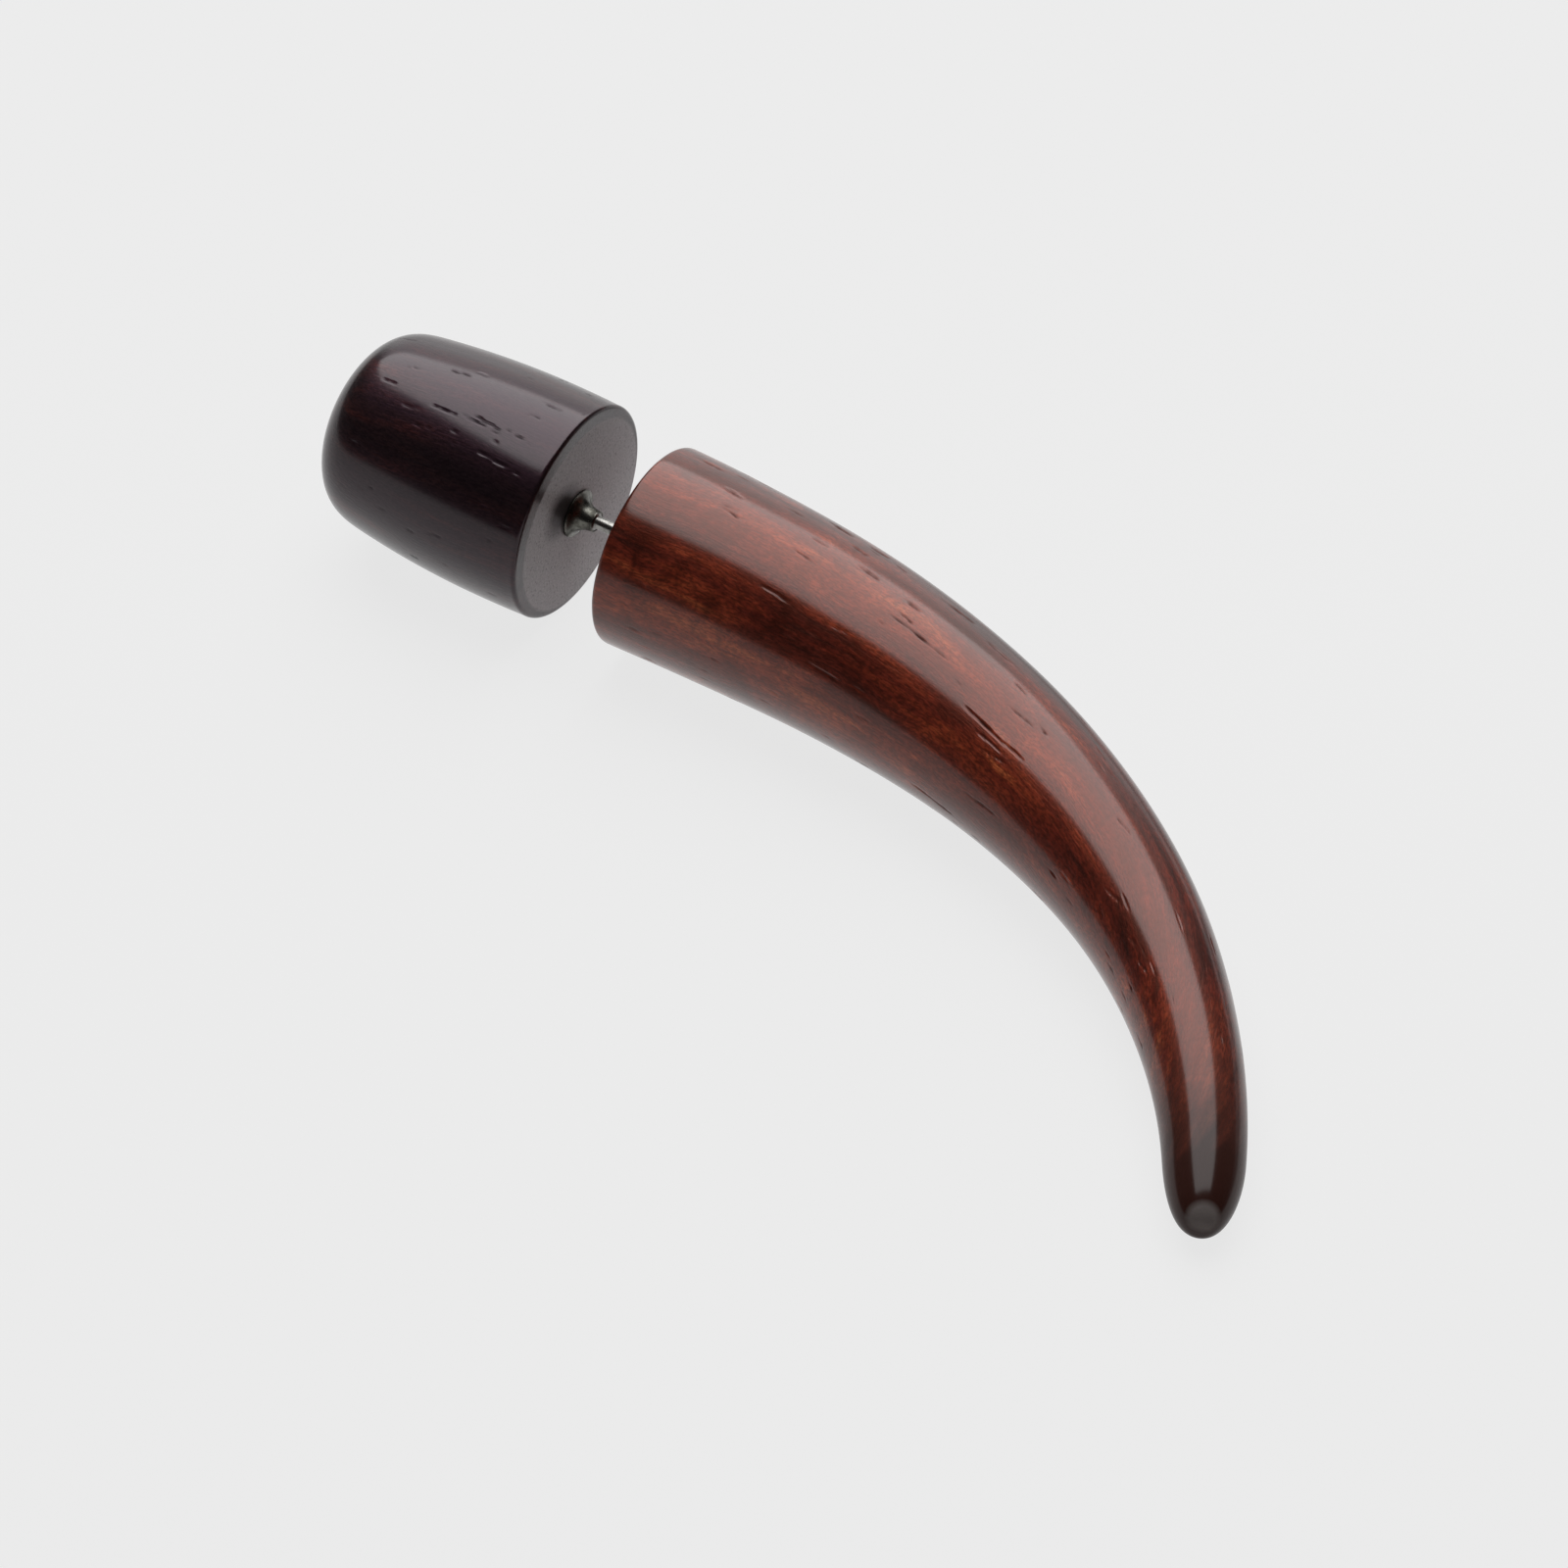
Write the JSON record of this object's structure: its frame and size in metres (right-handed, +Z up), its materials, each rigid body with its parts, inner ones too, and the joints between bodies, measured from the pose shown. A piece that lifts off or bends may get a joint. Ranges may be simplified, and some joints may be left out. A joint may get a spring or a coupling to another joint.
{
  "type": "two-part wooden ear taper",
  "caption": "Curved tapering dark-wood horn and a barrel-shaped wooden cap, joined through the ear lobe by a thin steel post with a flared collar; the cap pulls off the horn and turns.",
  "frame": {"origin": "on the post's axis, in the middle of the gap between cap and horn, which is on the bare shank where the ear lobe sits", "axes": "+Z up as the piece lies at rest on a table on its three real points; +X along the post from cap to horn, dipping 2.95 degrees below the level; the horn bends towards -Y"},
  "size_m": [0.0771, 0.0359, 0.0143],
  "materials": {
    "red_hardwood": "glossy lacquer over fine straight grain with open pores",
    "clear_sleeve": "soft translucent silicone",
    "dark_hardwood": "glossy lacquer over near-black wood with open pores",
    "polished_steel": "polished",
    "satin_steel": "turned satin",
    "amber_glue": "cured clear epoxy"
  },
  "bodies": {
    "horn_half": {"horn": "red_hardwood"},
    "sleeve": {"grip_sleeve": "clear_sleeve"},
    "cap_half": {"cap": "dark_hardwood", "ear_post": "polished_steel", "post_collar": "satin_steel", "root_glue": "amber_glue"}
  },
  "joints": [
    {"name": "cap_twist", "type": "hinge", "parent": "horn_half", "child": "sleeve", "pos_m": [0, 0, 0], "axis": [0.9987, 0, -0.0516], "continuous": true},
    {"name": "cap_pull", "type": "slide", "parent": "sleeve", "child": "cap_half", "axis": [-0.9987, 0, 0.0516], "range_m": [0, 0.014]}
  ]
}
